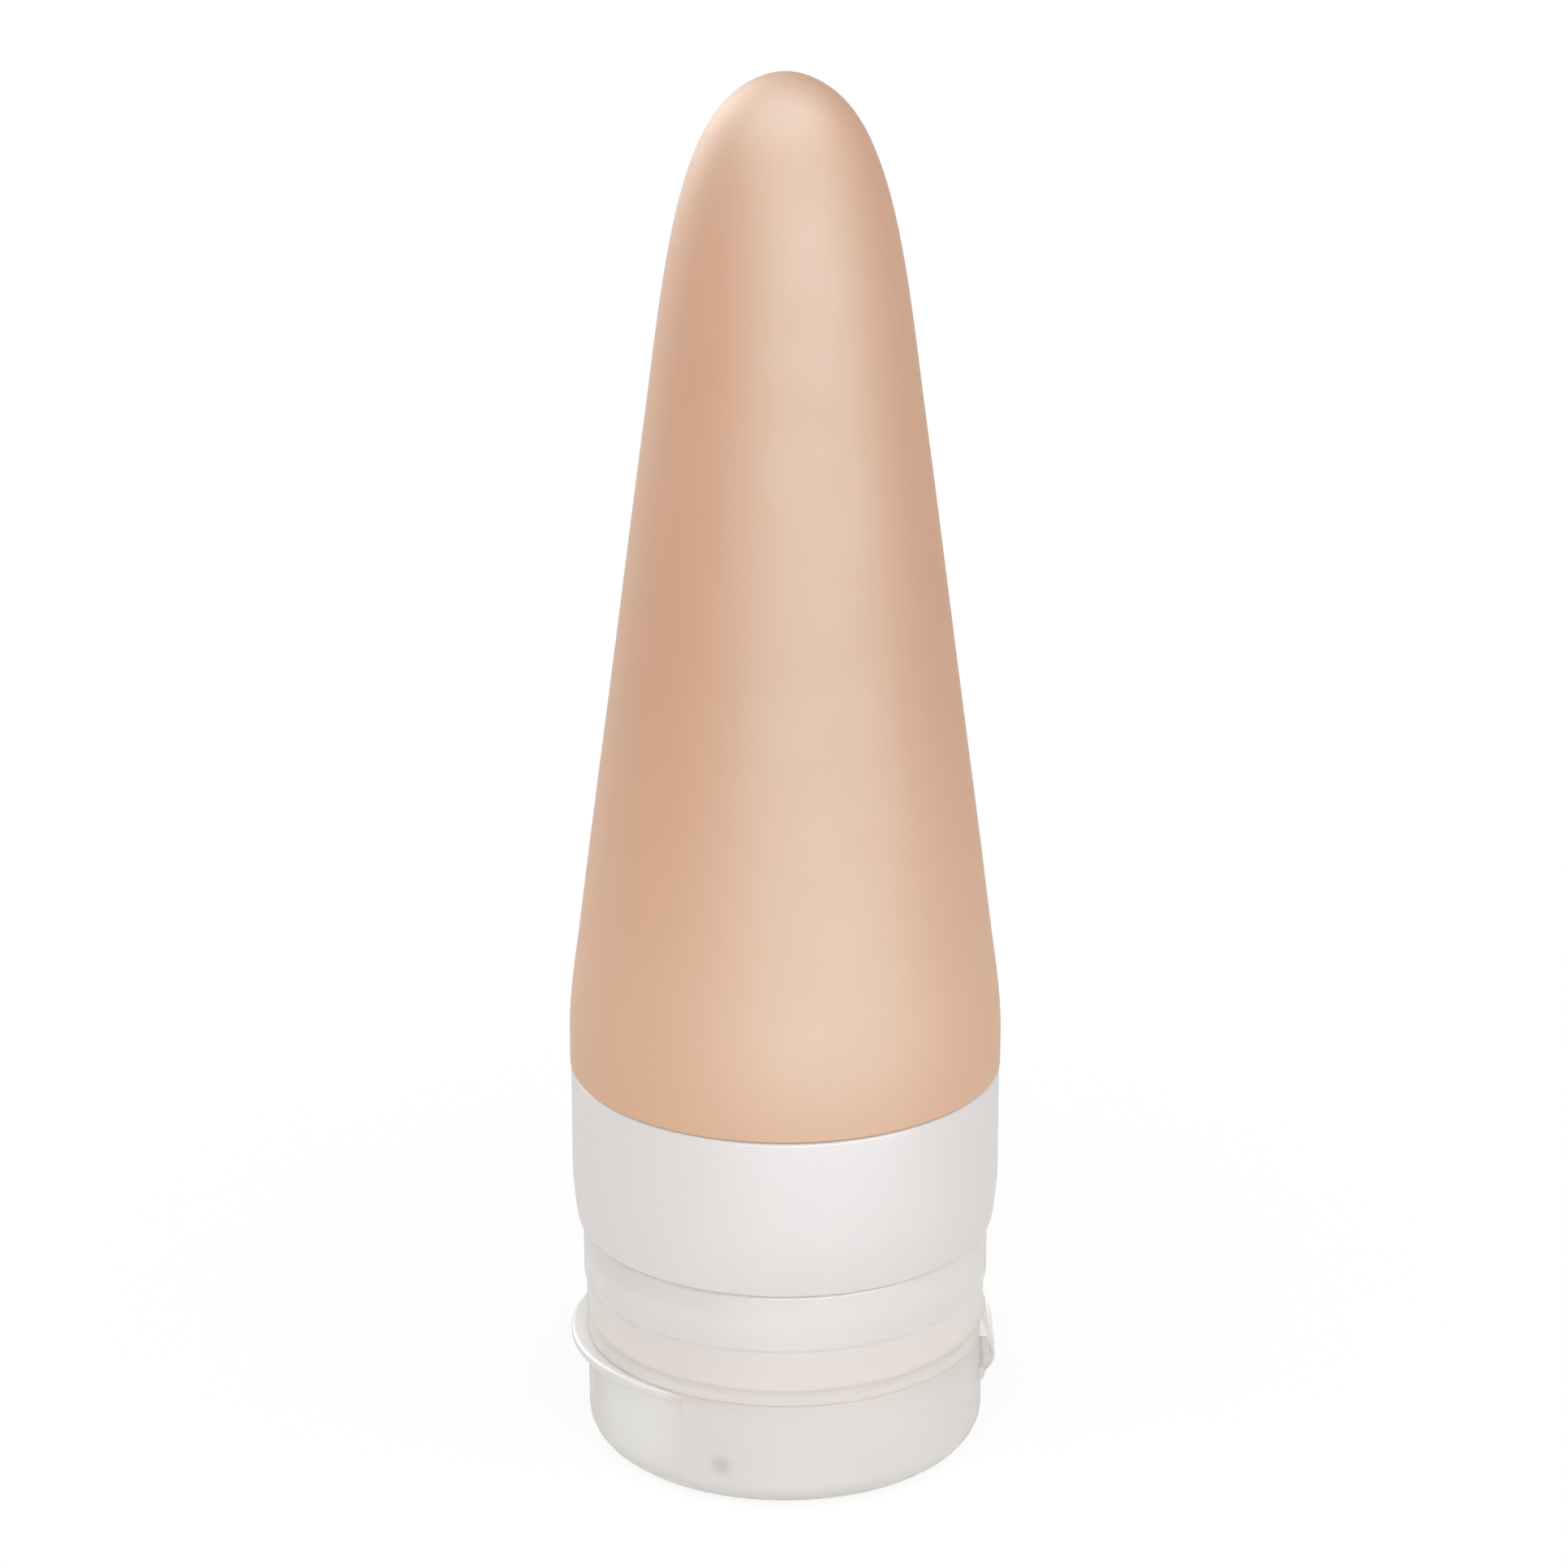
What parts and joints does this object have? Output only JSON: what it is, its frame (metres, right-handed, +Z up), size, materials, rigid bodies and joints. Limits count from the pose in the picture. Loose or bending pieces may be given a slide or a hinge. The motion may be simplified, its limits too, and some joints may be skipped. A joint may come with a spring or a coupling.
{
  "type": "travel silicone bottle",
  "caption": "Soft bullet-shaped silicone squeeze bottle standing on its frosted screw-on flip cap, with a plain white collar between.",
  "frame": {"origin": "middle of the lid's resting face, where the bottle stands upside down on its cap", "axes": "+Z up the bottle to its closed tip, -X to the lid's thumb lip, +X to the lid's hinge"},
  "size_m": [0.0465, 0.0462, 0.1508],
  "materials": {
    "peach_silicone": "matte, soft-touch silicone",
    "white_plastic": "satin white polypropylene",
    "frosted_plastic": "frosted, translucent natural polypropylene",
    "clear_silicone": "translucent silicone"
  },
  "bodies": {
    "cap": {"cap_base": "frosted_plastic", "no_drip_valve": "clear_silicone", "valve_retainer": "white_plastic", "living_hinge": "frosted_plastic"},
    "lid": {"flip_lid": "frosted_plastic"},
    "gasket": {"mouth_gasket": "peach_silicone"},
    "bottle": {"silicone_tube": "peach_silicone", "collar": "white_plastic"}
  },
  "joints": [
    {"name": "lid_hinge", "type": "hinge", "parent": "cap", "child": "lid", "pos_m": [0.0226, 0, 0.01225], "axis": [0, -1, 0], "range_deg": [0, 175], "deforming": ["living_hinge"]},
    {"name": "bottle_turn", "type": "hinge", "parent": "cap", "child": "gasket", "pos_m": [0, 0, 0], "axis": [0, 0, 1], "range_deg": [0, 1080]},
    {"name": "bottle_lift", "type": "slide", "parent": "gasket", "child": "bottle", "axis": [0, 0, 1], "range_m": [0, 0.012]}
  ],
  "couplings": [
    {"joint": "bottle_turn", "follows": "bottle_lift", "rad_per_m": 1570.8}
  ]
}
